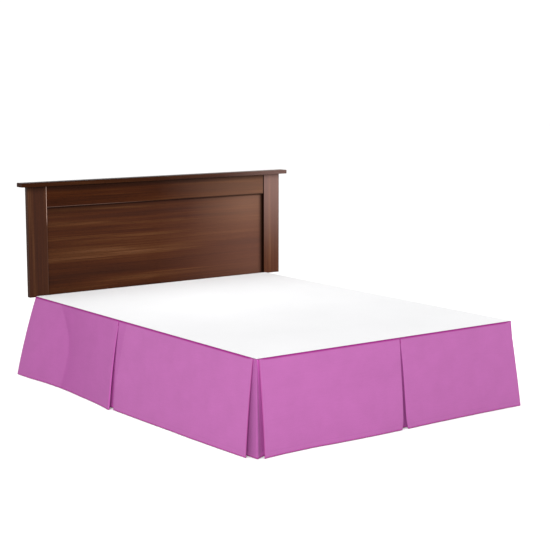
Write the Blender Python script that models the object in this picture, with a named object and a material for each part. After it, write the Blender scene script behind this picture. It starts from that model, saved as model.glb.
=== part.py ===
"""Tailored bed skirt with inverted pleats, hanging on a plain bed.

Metres, +Z up.  The bed lies along Y with its headboard at +Y.  The skirt is a white deck cloth
on the box spring, three orchid drops sewn round its edge, and two underlays behind the open
corners at the foot.  Run it with: blender --background --python part.py
"""

import math

import bmesh
import bpy
from mathutils import Vector

# ---------------------------------------------------------------- driving dimensions
BED_WIDTH = 1.524  # 60 in
BED_LENGTH = 2.032  # 80 in
DECK_HEIGHT = 0.421  # top of the deck cloth at the rim: a 7.5 in frame and a 9 in box spring
FRAME_TOP = 0.190
HEM_CLEARANCE = 0.003  # from the hem down to the floor
FIT = 0.0003  # between two pieces that touch

CLOTH = 0.0015
HEM_CLOTH = 0.0026  # where the cloth is turned in twice
HEM_DEPTH = 0.025  # height of the bottom hem
SIDE_HEM = 0.020  # width of the hem at a free end
SEAM_WIDTH = 0.018  # turned in under the deck
SEAM_RADIUS = 0.00375  # outer face of the cloth, where it turns over the edge
DECK_INSET = 0.0025  # deck edge, inside the drops' outer face
DECK_RIM = 0.020  # level margin, on the seam
DECK_SAG = 0.0018  # from the rim down to the box spring
DECK_RAMP = 0.050
DECK_LINES = (0.350, 0.700)  # where the flat part is divided, in from its edge
BOX_INSET = 0.0085  # box spring's sides, inside the drops' outer face
FLARE_BEND = 0.25  # how much steeper a drop leans at its top than halfway down

PLEAT_DEPTH = 0.090  # from the pleat's centre to its inner folds
PLEAT_GAP_TOP = 0.0008
# How a pleat's folded edges part: a little below the seam, and again at the hem.
PLEAT_OPENING = (
    # share of the height, share of the opening at the hem
    (0.0, 0.0), (0.25, 0.27), (0.45, 0.35), (0.70, 0.43), (0.90, 0.57), (1.0, 1.0),
)
RETURN_SET = (0.0036, 0.0110)  # depth of the folded-back layer: top, hem
INNER_FOLD = (0.00025, 0.0035)  # radius of the pleat's inner folds: top, hem
UNDERLAY_LINES = (0.3, 0.5, 0.7)  # shares of the underlay's width
UNDERLAY_SAG = 0.009  # how far the underlay's middle hangs behind its folds, at the hem
FOLD_STEPS = 4

INSERT_SET = 0.0033  # corner underlay behind the drops, at the top
INSERT_ARM = 0.110  # how far a corner underlay reaches along each side
INSERT_TUCK = 0.0008  # from a drop's end to where the underlay's top edge is low enough to pass under it
INSERT_SHOULDER = 0.0022  # and to where that edge has its full height
SIDE_NOTCH = 0.024  # from the bed's corner to a side drop's end, at the top
FOOT_NOTCH = 0.013

COLUMN_PITCH = 0.130
DROP_ROWS = (0.0, 0.10, 0.27, 0.48, 0.72)  # shares of the height, above the hem
HEM_STEP = 0.0012  # height over which the hem's thickness steps in

# How far each drop's hem hangs out from the bed's side.  "at" runs clockwise seen from above,
# from the middle of that side; each drop has a table for the panel before its pleat and after.
LEFT_HEM = (
    # at, out
    ((-1.030, 0.058), (-0.800, 0.069), (-0.600, 0.077), (-0.420, 0.079), (-0.220, 0.086), (0.040, 0.090)),
    ((0.060, 0.109), (0.150, 0.097), (0.290, 0.087), (0.430, 0.081), (0.560, 0.077), (0.690, 0.078),
     (0.820, 0.087), (0.930, 0.099), (1.045, 0.106)),
)
FOOT_HEM = (
    ((-0.800, 0.044), (-0.670, 0.038), (-0.430, 0.039), (-0.200, 0.043), (-0.058, 0.049)),
    ((-0.022, 0.050), (0.170, 0.053), (0.380, 0.050), (0.470, 0.045), (0.570, 0.047), (0.670, 0.051),
     (0.762, 0.061)),
)
RIGHT_HEM = (
    ((-1.035, 0.080), (-0.800, 0.070), (-0.550, 0.064), (-0.300, 0.069), (-0.060, 0.082)),
    ((-0.040, 0.075), (0.250, 0.068), (0.500, 0.062), (0.800, 0.052), (1.020, 0.045)),
)
SIDES = {
    # along: which way "at" runs; out: away from the bed; half: half the side's length;
    # ends: how far the hem's two ends hang past the side's ends
    "left": dict(along=(0, 1), out=(-1, 0), half=BED_LENGTH / 2, ends=(0.004, 0.029), hem=LEFT_HEM,
                 notch=(SIDE_NOTCH, 0.0), pleat=dict(top=0.128, hem=0.052, gap=0.016)),
    "right": dict(along=(0, -1), out=(1, 0), half=BED_LENGTH / 2, ends=(0.020, 0.002), hem=RIGHT_HEM,
                  notch=(0.0, SIDE_NOTCH), pleat=dict(top=-0.050, hem=-0.050, gap=0.018)),
    "foot": dict(along=(-1, 0), out=(0, -1), half=BED_WIDTH / 2, ends=(0.029, 0.000), hem=FOOT_HEM,
                 notch=(FOOT_NOTCH, FOOT_NOTCH), pleat=dict(top=-0.040, hem=-0.040, gap=0.036)),
}
# Hem of each corner underlay: x and y from the bed's corner, outwards positive, from its free end on
# the long side, over the fold at the corner, to its free end on the foot side.
INSERT_HEM = {
    # free end, under the drop, beside its end, fold, beside the foot drop's end, under it, free end
    "left": ((0.028, -INSERT_ARM), (0.030, -0.062), (0.031, -0.022), (0.029, 0.048), (-0.020, 0.024),
             (-0.060, 0.018), (-INSERT_ARM, 0.016)),
    "right": ((0.015, -INSERT_ARM), (0.016, -0.062), (0.017, -0.022), (0.018, 0.022), (-0.020, 0.014),
              (-0.060, 0.013), (-INSERT_ARM, 0.012)),
}

HEADBOARD_GAP = 0.010  # behind the bed's end
HEADBOARD_SHIFT = 0.040  # to the right of the bed's middle, as it is bolted on
HEADBOARD_WIDTH = 1.660
HEADBOARD_BOTTOM = 0.413
STILE_TOP = 1.008
STILE_WIDTH = 0.112
STILE_THICKNESS = 0.030
TOP_RAIL_HEIGHT = 0.115
TOP_RAIL_SETBACK = 0.004
PANEL_SETBACK = 0.018
PANEL_THICKNESS = 0.0115
CAP_THICKNESS = 0.022
CAP_SIDE = 0.042
CAP_FRONT = 0.022
CAP_BACK = 0.010
WOOD_EASING = 0.0015  # radius of the boards' edges
LEG_BOARD = (0.070, 0.022, 0.760)  # width, thickness, height
LEG_BOARD_AT = 0.640  # either side of the headboard's middle

RAIL_SIZE = 0.038
RAIL_WALL = 0.003
RAIL_INSET = 0.050  # outer face, inside the bed's side
RAIL_REACH = (-0.960, 0.975)  # foot and head ends
CROSS_RAIL = (0.040, 0.020)  # width, height
CROSS_RAIL_AT = {"foot": -0.820, "middle": 0.010, "head": 0.830}
LEG_AT = {"foot": -0.740, "middle": 0.090, "head": 0.750}
LEG_SIZE = 0.030
TUBE_CORNER = 0.003
BOX_CORNER = 0.012
GLIDE_RADIUS = 0.025
GLIDE_TAPER = 0.8
GLIDE_HEIGHT = 0.018
BRACKET_HEIGHT = 0.090
BRACKET_WIDTH = 0.050
BRACKET_WALL = 0.004

ORCHID = (0.55, 0.17, 0.45, 1.0)
WHITE = (0.90, 0.90, 0.90, 1.0)
TICKING = (0.72, 0.71, 0.68, 1.0)
WALNUT = (0.085, 0.032, 0.016, 1.0)
STEEL = (0.035, 0.035, 0.037, 1.0)
GLIDE_BLACK = (0.015, 0.015, 0.016, 1.0)

# ---------------------------------------------------------------- levels worked out from them
SEAM_LEVEL = DECK_HEIGHT - CLOTH - FIT  # upper face of the seam allowance
BOX_TOP = SEAM_LEVEL - CLOTH - FIT
DROP_TOP = SEAM_LEVEL - SEAM_RADIUS  # where a drop starts to hang
HEAD_END = BED_LENGTH / 2


def clear_scene():
    for thing in list(bpy.data.objects):
        bpy.data.objects.remove(thing, do_unlink=True)


def material(name, colour, roughness, metallic=0.0):
    found = bpy.data.materials.new(name)
    found.use_nodes = True
    shader = found.node_tree.nodes["Principled BSDF"]
    shader.inputs["Base Color"].default_value = colour
    shader.inputs["Roughness"].default_value = roughness
    shader.inputs["Metallic"].default_value = metallic
    return found


def mix(low, high, share):
    return low + (high - low) * share


def curve_through(table, at):
    """A smooth value at a place along a table of (at, value) rows."""
    rows = list(table)
    if at <= rows[0][0]:
        return rows[0][1]
    for i in range(len(rows) - 1):
        (a, low), (b, high) = rows[i], rows[i + 1]
        if at <= b:
            before = rows[max(i - 1, 0)]
            after = rows[min(i + 2, len(rows) - 1)]
            slope_in = (high - before[1]) / (b - before[0])
            slope_out = (after[1] - low) / (after[0] - a)
            t, width = (at - a) / (b - a), b - a
            return (
                low * (1 + 2 * t) * (1 - t) ** 2
                + high * t * t * (3 - 2 * t)
                + slope_in * width * t * (1 - t) ** 2
                - slope_out * width * t * t * (1 - t)
            )
    return rows[-1][1]


def flare(share):
    """How much of the hem's flare a drop has at a share of its height, down from the top."""
    return share * (1 + FLARE_BEND * (1 - share))


# ---------------------------------------------------------------- cloth
def drop_rows():
    hem = 1 - HEM_DEPTH / (DROP_TOP - HEM_CLEARANCE)
    step = HEM_STEP / (DROP_TOP - HEM_CLEARANCE)
    return [*((share, False) for share in DROP_ROWS), (hem - step, False), (hem, True), (1.0, True)]


def column(top, hem, out, back=(0.0, 0.0), bow=0.0, seam=False, thick=False, mitre=0):
    """One line down a drop: its place along the side at the top and at the hem, how far its hem
    hangs out, and how far it lies behind the outer layer.  bow is the part of its way along the
    side that follows the pleat's opening; mitre leans the end of the seam allowance away from
    the corner."""
    return dict(top=top, hem=hem, out=out, back=back, bow=bow, seam=seam, thick=thick, mitre=mitre)


def along_side(line, share):
    """A column's place along the side, at a share of the height down from the top."""
    opening = curve_through(PLEAT_OPENING, share)
    return mix(line["top"], line["hem"], share) + line["bow"] * (opening - share)


def panel_columns(table, top_ends, hem_ends, free_start, free_end, bow, mitre):
    """The outer layer between two ends.  A free end has a side hem; bow is the pleat edge's."""
    length = top_ends[1] - top_ends[0]
    count = max(2, round(length / COLUMN_PITCH))
    places = [(i / count, False) for i in range(count + 1)]
    if free_start:
        places[0] = (0.0, True)
        places[1:1] = [(SIDE_HEM / length, True), ((SIDE_HEM + HEM_STEP) / length, False)]
    if free_end:
        places[-1] = (1.0, True)
        places[-1:-1] = [(1 - (SIDE_HEM + HEM_STEP) / length, False), (1 - SIDE_HEM / length, True)]
    columns = []
    for share, thick in places:
        top, hem = mix(*top_ends, share), mix(*hem_ends, share)
        lean = {0.0: mitre[0], 1.0: -mitre[1]}.get(share, 0)
        share_of_bow = share if free_start else 1 - share
        out = curve_through(table, hem)
        columns.append(column(top, hem, out, (0, 0), bow * share_of_bow**2, True, thick, lean))
    return columns


def fold(edge_top, edge_hem, table, start, radii, way, bow=0.0):
    """A half turn from one layer to the next behind it: way is +1 where it bulges forwards along
    the side and -1 where it bulges back.  start is the depth of the layer it leaves."""
    turns = []
    out = curve_through(table, edge_hem)
    for i in range(FOLD_STEPS + 1):
        angle = math.pi * i / FOLD_STEPS
        reach = [way * (math.sin(angle) - 1) * radius for radius in radii]
        depth = [begin + (1 - math.cos(angle)) * radius for begin, radius in zip(start, radii)]
        turns.append(column(edge_top + reach[0], edge_hem + reach[1], out, tuple(depth), bow))
    return turns


def pleat_columns(pleat, before, after):
    """From the first panel's folded edge, behind it, across the underlay and back to the second
    panel's folded edge.  before and after are the two panels' hem tables."""
    outer = [depth / 2 for depth in RETURN_SET]
    behind = [back + 2 * radius for back, radius in zip(RETURN_SET, INNER_FOLD)]
    top, hem = pleat["top"], pleat["hem"]
    gaps = (PLEAT_GAP_TOP / 2, pleat["gap"] / 2)

    first = fold(top - gaps[0], hem - gaps[1], before, (0, 0), outer, 1, -gaps[1])
    first += fold(top - PLEAT_DEPTH, hem - PLEAT_DEPTH, before, RETURN_SET, INNER_FOLD, -1)
    last = fold(top + gaps[0], hem + gaps[1], after, (0, 0), outer, -1, gaps[1])
    last += fold(top + PLEAT_DEPTH, hem + PLEAT_DEPTH, after, RETURN_SET, INNER_FOLD, 1)
    last.reverse()
    underlay = []
    hangs = (first[-1]["out"], last[0]["out"])
    for share in UNDERLAY_LINES:
        across = mix(-PLEAT_DEPTH, PLEAT_DEPTH, share)
        sag = UNDERLAY_SAG * math.sin(math.pi * share)
        depth = (behind[0], behind[1] + sag)
        underlay.append(column(top + across, hem + across, mix(*hangs, share), depth))
    return first + underlay + last


def drop_columns(side):
    pleat, half = side["pleat"], side["half"]
    # from the pleat's centre to where a panel's flat part ends: half the opening and the fold's radius
    top_edge = (PLEAT_GAP_TOP + RETURN_SET[0]) / 2
    hem_edge = (pleat["gap"] + RETURN_SET[1]) / 2
    bow = pleat["gap"] / 2
    starts = (-half + side["notch"][0], -half - side["ends"][0])
    stops = (half - side["notch"][1], half + side["ends"][1])
    mitre = [1 if notch else 0 for notch in side["notch"]]
    before = panel_columns(
        side["hem"][0], (starts[0], pleat["top"] - top_edge), (starts[1], pleat["hem"] - hem_edge),
        True, False, -bow, (mitre[0], 0),
    )
    after = panel_columns(
        side["hem"][1], (pleat["top"] + top_edge, stops[0]), (pleat["hem"] + hem_edge, stops[1]),
        False, True, bow, (0, mitre[1]),
    )
    return before + pleat_columns(pleat, *side["hem"])[1:-1] + after


def place(side, at, out, height):
    along, away = side["along"], side["out"]
    edge = BED_WIDTH / 2 if away[0] else BED_LENGTH / 2
    return Vector(
        (along[0] * at + away[0] * (edge + out), along[1] * at + away[1] * (edge + out), height)
    )


def seam_rows():
    """Inner edge of the seam allowance and the turn over the bed's edge: inward reach, level."""
    rows = [(SEAM_WIDTH, SEAM_LEVEL)]
    for degrees in (90, 60, 30):
        angle = math.radians(degrees)
        rows.append((SEAM_RADIUS * (1 - math.cos(angle)), DROP_TOP + SEAM_RADIUS * math.sin(angle)))
    return rows


def cloth_object(name, grid, thick, finish):
    """A sheet from a grid of points on its right side, None where there is no cloth, and a list
    of the points that are turned in twice.  Its thickness grows away from the right side."""
    mesh = bpy.data.meshes.new(name)
    points, index, weights = [], {}, []
    for i, line in enumerate(grid):
        for j, point in enumerate(line):
            if point is not None:
                index[i, j] = len(points)
                points.append(point)
                weights.append(1.0 if (i, j) in thick else CLOTH / HEM_CLOTH)
    faces = []
    for i in range(len(grid) - 1):
        for j in range(len(grid[0]) - 1):
            corners = [(i, j), (i + 1, j), (i + 1, j + 1), (i, j + 1)]
            if all(corner in index for corner in corners):
                faces.append([index[corner] for corner in corners])
    mesh.from_pydata(points, [], faces)
    sheet = bpy.data.objects.new(name, mesh)
    bpy.context.collection.objects.link(sheet)
    group = sheet.vertex_groups.new(name="cloth thickness")
    for i, weight in enumerate(weights):
        group.add([i], weight, "REPLACE")
    solidify = sheet.modifiers.new("cloth", "SOLIDIFY")
    solidify.thickness = HEM_CLOTH
    solidify.offset = -1
    solidify.use_even_offset = True
    solidify.use_rim = True
    solidify.vertex_group = group.name
    mesh.materials.append(finish)
    mesh.shade_smooth()
    return sheet


def make_drop(name, side, finish):
    columns, seam, rows = drop_columns(side), seam_rows(), drop_rows()
    grid, thick = [], set()
    for i, line in enumerate(columns):
        points = []
        for inward, level in seam:
            at = line["top"] + line["mitre"] * inward
            points.append(place(side, at, -inward, level) if line["seam"] else None)
        for j, (share, hem) in enumerate(rows):
            out = flare(share) * line["out"] - mix(*line["back"], share)
            points.append(place(side, along_side(line, share), out, mix(DROP_TOP, HEM_CLEARANCE, share)))
            if hem or line["thick"]:
                thick.add((i, len(seam) + j))
        grid.append(points)
    return cloth_object(name, grid, thick, finish)


def insert_top():
    """A corner underlay's top edge: x and y from the bed's corner and level, in the hem table's
    order.  Between the drops' ends it reaches up to the deck, and beside them it passes under."""
    side, foot = SIDE_NOTCH, FOOT_NOTCH
    return (
        (-INSERT_SET, -INSERT_ARM, DROP_TOP),
        (-INSERT_SET, INSERT_TUCK - side, DROP_TOP),
        (-INSERT_SET, INSERT_SHOULDER - side, SEAM_LEVEL),
        (-INSERT_SET, -INSERT_SET, SEAM_LEVEL),
        (INSERT_SHOULDER - foot, -INSERT_SET, SEAM_LEVEL),
        (INSERT_TUCK - foot, -INSERT_SET, DROP_TOP),
        (-INSERT_ARM, -INSERT_SET, DROP_TOP),
    )


def make_insert(name, sign, hem, finish):
    """A corner underlay: sign is -1 at the bed's left corner and +1 at its right."""
    lines = list(zip(insert_top(), hem))
    if sign < 0:
        lines.reverse()
    grid, thick = [], set()
    for i, ((top_x, top_y, top_level), (hem_x, hem_y)) in enumerate(lines):
        points = []
        for j, (share, hemmed) in enumerate(drop_rows()):
            x = sign * (BED_WIDTH / 2 + mix(top_x, hem_x, flare(share)))
            y = -BED_LENGTH / 2 - mix(top_y, hem_y, flare(share))
            points.append(Vector((x, y, mix(top_level, HEM_CLEARANCE, share))))
            if hemmed:
                thick.add((i, j))
        grid.append(points)
    return cloth_object(name, grid, thick, finish)


def make_deck(finish):
    """The deck cloth: level at its rim, on the seams, and a little lower on the box spring."""
    half = Vector((BED_WIDTH / 2 - DECK_INSET, BED_LENGTH / 2 - DECK_INSET))
    ramp_lines = [DECK_RIM + DECK_RAMP * share for share in (0.0, 0.3, 0.6, 1.0)]

    def lines(reach):
        low = [step - reach for step in (0.0, *ramp_lines, *DECK_LINES) if step < reach]
        return low + [0.0] + [-line for line in reversed(low)]

    def level(x, y):
        edge = min(half.x - abs(x), half.y - abs(y))
        ramp = min(max((edge - DECK_RIM) / DECK_RAMP, 0.0), 1.0)
        return DECK_HEIGHT - DECK_SAG * ramp * ramp * (3 - 2 * ramp)

    grid = [[Vector((x, y, level(x, y))) for y in lines(half.y)] for x in lines(half.x)]
    return cloth_object("deck", grid, set(), finish)


# ---------------------------------------------------------------- the bed, plain
def made_from(name, shape, finish, centre=(0, 0, 0)):
    """An object from a finished bmesh."""
    mesh = bpy.data.meshes.new(name)
    shape.to_mesh(mesh)
    shape.free()
    mesh.materials.append(finish)
    made = bpy.data.objects.new(name, mesh)
    made.location = centre
    bpy.context.collection.objects.link(made)
    return made


def block(name, low, high, finish, bevel=0.0, segments=2):
    """A board or box between two corners, with its edges eased."""
    low, high = Vector(low), Vector(high)
    shape = bmesh.new()
    bmesh.ops.create_cube(shape, size=1.0)
    bmesh.ops.scale(shape, vec=high - low, verts=shape.verts)
    made = made_from(name, shape, finish, (low + high) / 2)
    if bevel:
        eased = made.modifiers.new("eased edges", "BEVEL")
        eased.width = bevel
        eased.segments = segments
        eased.limit_method = "ANGLE"
    return made


def extrusion(name, outline, travel, finish):
    """A bar or plate of constant section: outline is a closed flat loop, moved by travel."""
    shape = bmesh.new()
    face = shape.faces.new([shape.verts.new(point) for point in outline])
    grown = bmesh.ops.extrude_face_region(shape, geom=[face])
    moved = [item for item in grown["geom"] if isinstance(item, bmesh.types.BMVert)]
    bmesh.ops.translate(shape, vec=travel, verts=moved)
    bmesh.ops.recalc_face_normals(shape, faces=shape.faces)
    return made_from(name, shape, finish)


def make_box_spring(finish):
    half_x, half_y = BED_WIDTH / 2 - BOX_INSET, BED_LENGTH / 2 - BOX_INSET
    low, high = (-half_x, -half_y, FRAME_TOP + FIT), (half_x, half_y, BOX_TOP)
    return block("box_spring", low, high, finish, BOX_CORNER, 3)


def make_bed_frame(steel, black):
    made = []
    outer = BED_WIDTH / 2 - RAIL_INSET
    inner = outer - RAIL_SIZE
    under = FRAME_TOP - RAIL_WALL
    start, stop = RAIL_REACH
    for name, sign in (("left", -1), ("right", 1)):
        angle_iron = [
            (outer, FRAME_TOP), (inner, FRAME_TOP), (inner, under), (outer - RAIL_WALL, under),
            (outer - RAIL_WALL, FRAME_TOP - RAIL_SIZE), (outer, FRAME_TOP - RAIL_SIZE),
        ]
        section = [(sign * x, start, z) for x, z in angle_iron]
        made.append(extrusion(f"side_rail_{name}", section, (0, stop - start, 0), steel))
        leg_x = sign * (outer - RAIL_WALL - FIT - LEG_SIZE / 2)
        for where, y in LEG_AT.items():
            low = (leg_x - LEG_SIZE / 2, y - LEG_SIZE / 2, GLIDE_HEIGHT + FIT)
            high = (leg_x + LEG_SIZE / 2, y + LEG_SIZE / 2, under - FIT)
            made.append(block(f"leg_{where}_{name}", low, high, steel, TUBE_CORNER))
            made.append(make_glide(f"glide_{where}_{name}", leg_x, y, black))
        made.append(make_bracket(f"headboard_bracket_{name}", sign, steel))
    reach = inner - FIT
    width, height = CROSS_RAIL
    for where, y in CROSS_RAIL_AT.items():
        low, high = (-reach, y - width / 2, FRAME_TOP - height), (reach, y + width / 2, FRAME_TOP)
        made.append(block(f"cross_rail_{where}", low, high, steel, TUBE_CORNER, 1))
    return made


def make_glide(name, x, y, finish):
    shape = bmesh.new()
    top = GLIDE_RADIUS * GLIDE_TAPER
    bmesh.ops.create_cone(
        shape, cap_ends=True, segments=24, radius1=GLIDE_RADIUS, radius2=top, depth=GLIDE_HEIGHT
    )
    return made_from(name, shape, finish, (x, y, GLIDE_HEIGHT / 2))


def make_bracket(name, sign, finish):
    """An angle plate from the side rail's end to the front of a leg board."""
    centre = sign * LEG_BOARD_AT + HEADBOARD_SHIFT
    top = FRAME_TOP - RAIL_WALL - FIT
    start = RAIL_REACH[1] - BRACKET_WIDTH
    stop = HEAD_END + HEADBOARD_GAP + STILE_THICKNESS  # just short of the leg board
    outside = sign * (BED_WIDTH / 2 - RAIL_INSET - RAIL_WALL - FIT)
    inside = outside - sign * BRACKET_WALL
    edge = centre - sign * BRACKET_WIDTH / 2
    outline = [
        (outside, start), (outside, stop), (edge, stop), (edge, stop - BRACKET_WALL),
        (inside, stop - BRACKET_WALL), (inside, start),
    ]
    section = [(x, y, top - BRACKET_HEIGHT) for x, y in outline]
    return extrusion(name, section, (0, 0, BRACKET_HEIGHT), finish)


def make_headboard(finish):
    made = []
    half, front = HEADBOARD_WIDTH / 2, HEAD_END + HEADBOARD_GAP
    back = front + STILE_THICKNESS
    inner = half - STILE_WIDTH - FIT
    middle = HEADBOARD_SHIFT
    for name, sign in (("left", -1), ("right", 1)):
        sides = sorted((middle + sign * half, middle + sign * (half - STILE_WIDTH)))
        made.append(block(
            f"headboard_stile_{name}", (sides[0], front, HEADBOARD_BOTTOM), (sides[1], back, STILE_TOP),
            finish, WOOD_EASING,
        ))
        centre = middle + sign * LEG_BOARD_AT
        made.append(block(
            f"headboard_leg_{name}", (centre - LEG_BOARD[0] / 2, back + FIT, 0.0),
            (centre + LEG_BOARD[0] / 2, back + FIT + LEG_BOARD[1], LEG_BOARD[2]), finish, WOOD_EASING,
        ))
    rail_bottom = STILE_TOP - TOP_RAIL_HEIGHT
    made.append(block(
        "headboard_top_rail", (middle - inner, front + TOP_RAIL_SETBACK, rail_bottom),
        (middle + inner, back, STILE_TOP), finish, WOOD_EASING,
    ))
    made.append(block(
        "headboard_panel", (middle - inner, front + PANEL_SETBACK, HEADBOARD_BOTTOM),
        (middle + inner, front + PANEL_SETBACK + PANEL_THICKNESS, rail_bottom - FIT), finish,
    ))
    made.append(block(
        "headboard_cap", (middle - half - CAP_SIDE, front - CAP_FRONT, STILE_TOP + FIT),
        (middle + half + CAP_SIDE, back + CAP_BACK, STILE_TOP + FIT + CAP_THICKNESS), finish, WOOD_EASING,
    ))
    return made


def reach(made):
    """Lowest and highest corner of everything, with modifiers."""
    view = bpy.context.evaluated_depsgraph_get()
    corners = []
    for thing in made:
        mesh = thing.evaluated_get(view).to_mesh()
        corners += [thing.matrix_world @ point.co for point in mesh.vertices]
        thing.evaluated_get(view).to_mesh_clear()
    low = Vector([min(point[axis] for point in corners) for axis in range(3)])
    high = Vector([max(point[axis] for point in corners) for axis in range(3)])
    return low, high


def main():
    clear_scene()
    orchid = material("orchid cotton", ORCHID, 0.85)
    white = material("white platform cloth", WHITE, 0.9)
    ticking = material("box spring ticking", TICKING, 0.9)
    walnut = material("walnut", WALNUT, 0.4)
    steel = material("painted steel", STEEL, 0.45, 0.6)
    black = material("moulded plastic", GLIDE_BLACK, 0.5)

    made = [make_drop(f"drop_{name}", side, orchid) for name, side in SIDES.items()]
    made += [
        make_insert(f"corner_insert_{name}", sign, INSERT_HEM[name], orchid)
        for name, sign in (("left", -1), ("right", 1))
    ]
    made += [make_deck(white), make_box_spring(ticking)]
    made += make_bed_frame(steel, black) + make_headboard(walnut)

    bpy.context.view_layer.update()
    low, high = reach(made)
    bed = bpy.data.objects.new("bed", None)  # everything hangs on this empty, centred on the floor
    bpy.context.collection.objects.link(bed)
    for thing in made:
        thing.parent = bed
    bed.location = (-(low.x + high.x) / 2, -(low.y + high.y) / 2, -low.z)
    print("bed centre", [round(value, 5) for value in bed.location])
    print("size", [round(value, 4) for value in high - low])


main()
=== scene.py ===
"""Tailored bed skirt with inverted pleats, shown on a plain bed with a walnut headboard.

Metres, +Z up.  The bed lies along Y with its headboard at +Y.
"""

from collections import namedtuple
from functools import partial
from math import cos, exp, pi, radians, sin, sqrt

import bmesh
import bpy
from bpy.props import FloatProperty, FloatVectorProperty, PointerProperty
from bpy.types import Operator, PropertyGroup
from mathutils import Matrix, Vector, noise


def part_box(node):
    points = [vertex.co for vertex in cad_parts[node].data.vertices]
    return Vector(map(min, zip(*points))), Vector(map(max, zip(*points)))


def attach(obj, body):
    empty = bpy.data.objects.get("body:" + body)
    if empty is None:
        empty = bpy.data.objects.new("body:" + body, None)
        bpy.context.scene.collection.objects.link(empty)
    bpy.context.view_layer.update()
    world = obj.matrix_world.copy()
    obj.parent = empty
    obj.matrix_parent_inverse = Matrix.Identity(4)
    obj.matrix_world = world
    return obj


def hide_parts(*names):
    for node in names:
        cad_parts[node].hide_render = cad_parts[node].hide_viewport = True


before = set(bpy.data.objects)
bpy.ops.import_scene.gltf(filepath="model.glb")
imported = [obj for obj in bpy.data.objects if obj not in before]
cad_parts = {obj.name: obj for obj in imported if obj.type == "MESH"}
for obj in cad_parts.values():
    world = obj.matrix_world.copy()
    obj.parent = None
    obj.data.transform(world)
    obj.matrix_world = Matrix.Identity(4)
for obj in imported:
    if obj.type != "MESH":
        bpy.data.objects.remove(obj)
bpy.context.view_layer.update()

bl_info = {
    "name": "Pleated bed skirt",
    "version": (1, 0, 0),
    "blender": (4, 5, 0),
    "location": "3D View > Sidebar > Bed skirt",
    "description": "A tailored bed skirt with inverted pleats, on a plain bed",
    "category": "Object",
}

# ---------------------------------------------------------------- sizes of the bed and the cut
SPRING_LOW, SPRING_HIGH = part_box("box_spring")
BED_X, BED_Y = (SPRING_LOW.x + SPRING_HIGH.x) / 2, (SPRING_LOW.y + SPRING_HIGH.y) / 2
BED_WIDTH = 1.524
BED_LENGTH = 2.032
SEAM_LEVEL = 0.4192  # upper face of the seam allowance
SEAM_RADIUS = 0.00375
DROP_TOP = SEAM_LEVEL - SEAM_RADIUS
HEM_CLEARANCE = 0.003
DROP_HEIGHT = DROP_TOP - HEM_CLEARANCE
SEAM_WIDTH = 0.018
MITRE = 0.045
FLARE_BEND = 0.25

PLEAT_DEPTH = 0.090
PLEAT_GAP_TOP = 0.0008
PLEAT_OPENING = ((0.0, 0.0), (0.25, 0.27), (0.45, 0.35), (0.70, 0.43), (0.90, 0.57), (1.0, 1.0))
RETURN_SET = (0.0036, 0.0110)
INNER_FOLD = (0.00025, 0.0035)
UNDERLAY_SAG = 0.009
FOLD_STEPS = 8

INSERT_SET = 0.0033
INSERT_ARM = 0.110
INSERT_TUCK = 0.0008
INSERT_SHOULDER = 0.0022
SIDE_NOTCH = 0.024
FOOT_NOTCH = 0.013

# How far each drop's hem hangs out, by the place along its side, clockwise seen from above.
LEFT_HEM = (
    ((-1.030, 0.058), (-0.800, 0.069), (-0.600, 0.077), (-0.420, 0.079), (-0.220, 0.086), (0.040, 0.090)),
    ((0.060, 0.109), (0.150, 0.097), (0.290, 0.087), (0.430, 0.081), (0.560, 0.077), (0.690, 0.078),
     (0.820, 0.087), (0.930, 0.099), (1.045, 0.106)),
)
FOOT_HEM = (
    ((-0.800, 0.044), (-0.670, 0.038), (-0.430, 0.039), (-0.200, 0.043), (-0.058, 0.049)),
    ((-0.022, 0.050), (0.170, 0.053), (0.380, 0.050), (0.470, 0.045), (0.570, 0.047), (0.670, 0.051),
     (0.762, 0.061)),
)
RIGHT_HEM = (
    ((-1.035, 0.080), (-0.800, 0.070), (-0.550, 0.064), (-0.300, 0.069), (-0.060, 0.082)),
    ((-0.040, 0.075), (0.250, 0.068), (0.500, 0.062), (0.800, 0.052), (1.020, 0.045)),
)
# A soft vertical crease in the head end of the left drop: share of the height, place along the side.
LEFT_CREASE = ((0.0, 0.73), (0.3, 0.645), (0.55, 0.61), (0.8, 0.61), (1.0, 0.615))
# A pleat's lit is the share of its inside that the light comes through to: it scales the painted light
# inside the pleat, and the rest is painted shade there.
SIDES = {
    "left": dict(along=(0, 1), out=(-1, 0), half=BED_LENGTH / 2, ends=(0.004, 0.029), hem=LEFT_HEM,
                 notch=(SIDE_NOTCH, 0.0), pleat=dict(top=0.128, hem=0.052, gap=0.016, lit=1.0),
                 crease=LEFT_CREASE, seed=2.0),
    "right": dict(along=(0, -1), out=(1, 0), half=BED_LENGTH / 2, ends=(0.020, 0.002), hem=RIGHT_HEM,
                  notch=(0.0, SIDE_NOTCH), pleat=dict(top=-0.050, hem=-0.050, gap=0.018, lit=0.6),
                  seed=7.0),
    "foot": dict(along=(-1, 0), out=(0, -1), half=BED_WIDTH / 2, ends=(0.029, 0.000), hem=FOOT_HEM,
                 notch=(FOOT_NOTCH, FOOT_NOTCH), pleat=dict(top=-0.040, hem=-0.040, gap=0.036, lit=0.25),
                 seed=4.0),
}
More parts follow.
